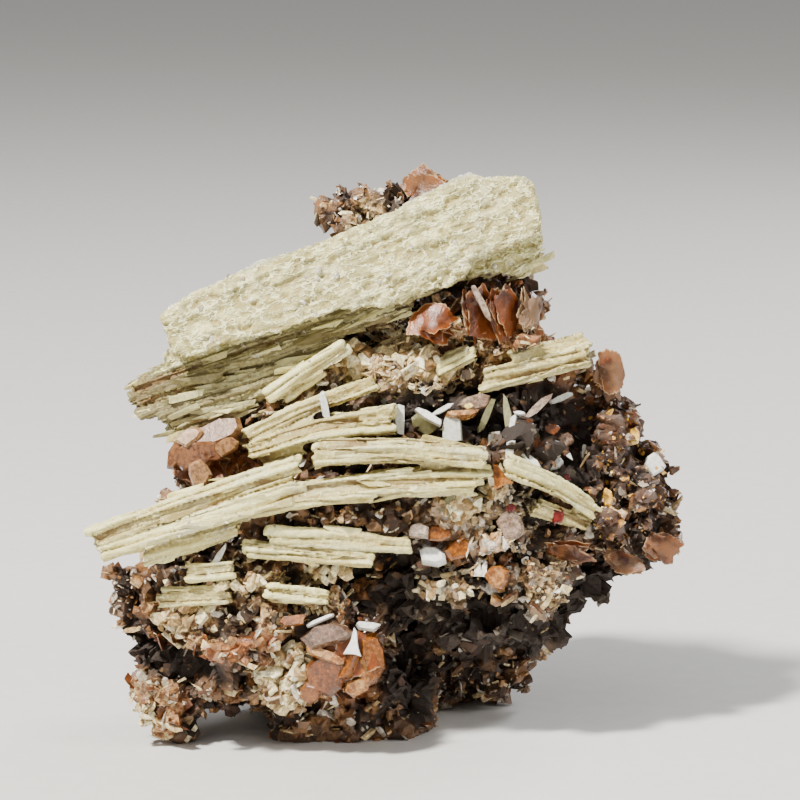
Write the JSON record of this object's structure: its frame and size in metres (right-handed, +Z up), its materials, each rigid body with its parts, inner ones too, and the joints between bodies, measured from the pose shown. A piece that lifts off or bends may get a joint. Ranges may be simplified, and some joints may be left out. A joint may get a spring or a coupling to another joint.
{
  "type": "leifite mineral specimen",
  "caption": "Specimen of striated cream leifite blades grown on a brown granular matrix with thin rust-brown plates, cut flat below so that it stands.",
  "frame": {"origin": "on the flat cut under the specimen, below the middle of its overall box", "axes": "+Z up, +X to the viewer's right, -Y towards the viewer"},
  "size_m": [0.0293, 0.0172, 0.0281],
  "materials": {
    "leifite_cream": "silky, finely striated",
    "matrix_brown": "rough and granular, with glassy glints",
    "plate_rust": "thin shining flakes"
  },
  "bodies": {
    "root": {"brown_lamella_left": "plate_rust", "brown_lamella_middle": "plate_rust", "brown_lamella_right": "plate_rust", "brown_plate_fan": "plate_rust", "brown_plate_far_right": "plate_rust", "brown_plate_front": "plate_rust", "brown_plate_left": "plate_rust", "brown_plate_low_right": "plate_rust", "brown_plate_right_end": "plate_rust", "brown_plate_top": "plate_rust", "brown_plate_under_slab": "plate_rust", "leifite_back_blade": "leifite_cream", "leifite_back_stub": "leifite_cream", "leifite_fan_blades": "leifite_cream", "leifite_front_sheaf": "leifite_cream", "leifite_lower_blades": "leifite_cream", "leifite_middle_blades": "leifite_cream", "leifite_needles": "leifite_cream", "leifite_right_blade": "leifite_cream", "leifite_slab": "leifite_cream", "leifite_small_blade": "leifite_cream", "leifite_stub_high": "leifite_cream", "leifite_stub_left": "leifite_cream", "leifite_stub_right": "leifite_cream", "matrix": "matrix_brown"}
  },
  "joints": []
}
